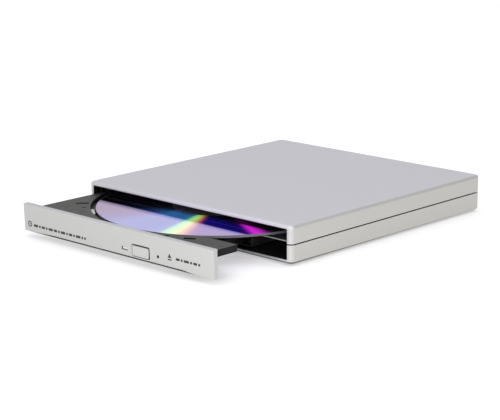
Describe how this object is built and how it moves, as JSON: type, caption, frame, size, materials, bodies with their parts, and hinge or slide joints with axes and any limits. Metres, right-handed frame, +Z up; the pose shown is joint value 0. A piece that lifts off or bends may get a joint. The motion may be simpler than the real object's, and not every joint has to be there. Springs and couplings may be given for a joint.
{
  "type": "external optical drive",
  "caption": "Slim external optical drive: a flat silver two-shell case with a disc tray standing partly open, front eject button and rear cable socket.",
  "frame": {"origin": "under the middle of the object's box, at the height of the floor under its feet, with the tray partly open as at rest", "axes": "+X to the right along the front, -Y out of the front, where the tray opens, +Z up"},
  "size_m": [0.138, 0.1912, 0.019],
  "materials": {
    "case_paint": "satin silver paint",
    "bezel_paint": "satin silver paint",
    "button_paint": "satin silver paint",
    "foot_rubber": "matte",
    "screw_steel": "machined",
    "black_screw": "blackened",
    "board_green": "solder mask",
    "chip_black": "moulded",
    "socket_black": "moulded",
    "socket_steel": "tinned",
    "sheet_steel": "zinc coated",
    "ribbon": "polyimide film",
    "guide_plastic": "moulded",
    "rail_steel": "black coated",
    "tray_plastic": "fine texture",
    "clear_plastic": "clear",
    "light_chip": "cast",
    "motor_steel": "pressed",
    "copper": "enamelled wire",
    "damper_rubber": "matte",
    "hub_plastic": "moulded",
    "sled_metal": "die cast",
    "gold_can": "plated",
    "lens_glass": "coated",
    "rod_steel": "ground",
    "disc_mirror": "data side of a disc",
    "nylon": "moulded"
  },
  "bodies": {
    "case": {"top_cover": "case_paint", "bottom_cover": "case_paint", "rubber_feet": "foot_rubber", "case_screws": "black_screw", "bridge_board": "board_green", "bridge_chips": "chip_black", "bridge_connector": "socket_black", "cable_receptacle": "socket_steel", "bridge_board_screws": "screw_steel", "drive_chassis": "sheet_steel", "drive_lid": "sheet_steel", "lid_screws": "screw_steel", "drive_screws": "black_screw", "main_board": "board_green", "main_board_chips": "chip_black", "drive_connector": "socket_black", "tray_ribbon": "ribbon", "left_guide": "guide_plastic", "right_guide": "guide_plastic", "catch_post": "screw_steel"},
    "left_rail": {"left_rail": "rail_steel"},
    "right_rail": {"right_rail": "rail_steel"},
    "tray": {"tray": "tray_plastic", "tray_bezel": "bezel_paint", "light_pipe": "clear_plastic", "front_board": "board_green", "indicator_light": "light_chip", "eject_switch": "socket_black", "bottom_shield": "sheet_steel", "shield_screws": "screw_steel", "traverse_frame": "sheet_steel", "damper_bushes": "damper_rubber", "traverse_screws": "screw_steel", "spindle_motor": "motor_steel", "guide_rods": "rod_steel", "rod_clamps": "sheet_steel", "sled_motor": "motor_steel", "eject_solenoid": "copper", "solenoid_frame": "sheet_steel", "latch_pin": "rod_steel", "latch_spring": "rod_steel", "eject_rod_spring": "rod_steel"},
    "button": {"eject_button": "button_paint"},
    "spindle": {"turntable": "hub_plastic", "hub_claws": "nylon", "friction_ring": "damper_rubber", "disc": "disc_mirror"},
    "screw": {"lead_screw": "rod_steel"},
    "sled": {"pickup_body": "sled_metal", "pickup_cover": "sheet_steel", "laser_unit": "gold_can", "pickup_ribbon": "ribbon"},
    "lens": {"lens_holder": "socket_black", "objective_lens": "lens_glass"},
    "latch": {"latch_lever": "sheet_steel"},
    "plunger": {"solenoid_plunger": "rod_steel"},
    "rod": {"eject_rod": "nylon"}
  },
  "joints": [
    {"name": "tray_slide", "type": "slide", "parent": "case", "child": "tray", "axis": [0, -1, 0], "range_m": [-0.0462, 0.0848]},
    {"name": "left_rail_slide", "type": "slide", "parent": "case", "child": "left_rail", "axis": [0, -1, 0], "range_m": [-0.0231, 0.0424]},
    {"name": "right_rail_slide", "type": "slide", "parent": "case", "child": "right_rail", "axis": [0, -1, 0], "range_m": [-0.0231, 0.0424]},
    {"name": "button_press", "type": "slide", "parent": "tray", "child": "button", "axis": [0, 1, 0], "range_m": [0, 0.0006], "stiffness_N_per_m": 800},
    {"name": "disc_spin", "type": "hinge", "parent": "tray", "child": "spindle", "pos_m": [0, -0.0262, 0.0125], "axis": [0, 0, 1], "continuous": true},
    {"name": "sled_slide", "type": "slide", "parent": "tray", "child": "sled", "axis": [-0.6157, -0.788, 0], "range_m": [0, 0.0335]},
    {"name": "lead_screw_turn", "type": "hinge", "parent": "tray", "child": "screw", "pos_m": [-0.02387, -0.02329, 0.0082], "axis": [-0.6157, -0.788, 0], "range_deg": [0, 4020]},
    {"name": "lens_focus", "type": "slide", "parent": "sled", "child": "lens", "axis": [0, 0, 1], "range_m": [-0.0003, 0.0004], "stiffness_N_per_m": 150},
    {"name": "latch_turn", "type": "hinge", "parent": "tray", "child": "latch", "pos_m": [0.025, -0.0866, 0.0063], "axis": [0, 0, 1], "range_deg": [0, 20]},
    {"name": "plunger_slide", "type": "slide", "parent": "tray", "child": "plunger", "axis": [-1, 0, 0], "range_m": [0, 0.0027], "stiffness_N_per_m": 200, "springref_m": -0.001},
    {"name": "eject_rod_slide", "type": "slide", "parent": "tray", "child": "rod", "axis": [0, 1, 0], "range_m": [0, 0.012], "stiffness_N_per_m": 20}
  ],
  "couplings": [
    {"joint": "left_rail_slide", "follows": "tray_slide", "ratio": 0.5},
    {"joint": "right_rail_slide", "follows": "tray_slide", "ratio": 0.5},
    {"joint": "lead_screw_turn", "follows": "sled_slide", "rad_per_m": 2094.4},
    {"joint": "latch_turn", "follows": "plunger_slide", "rad_per_m": 128.21}
  ]
}
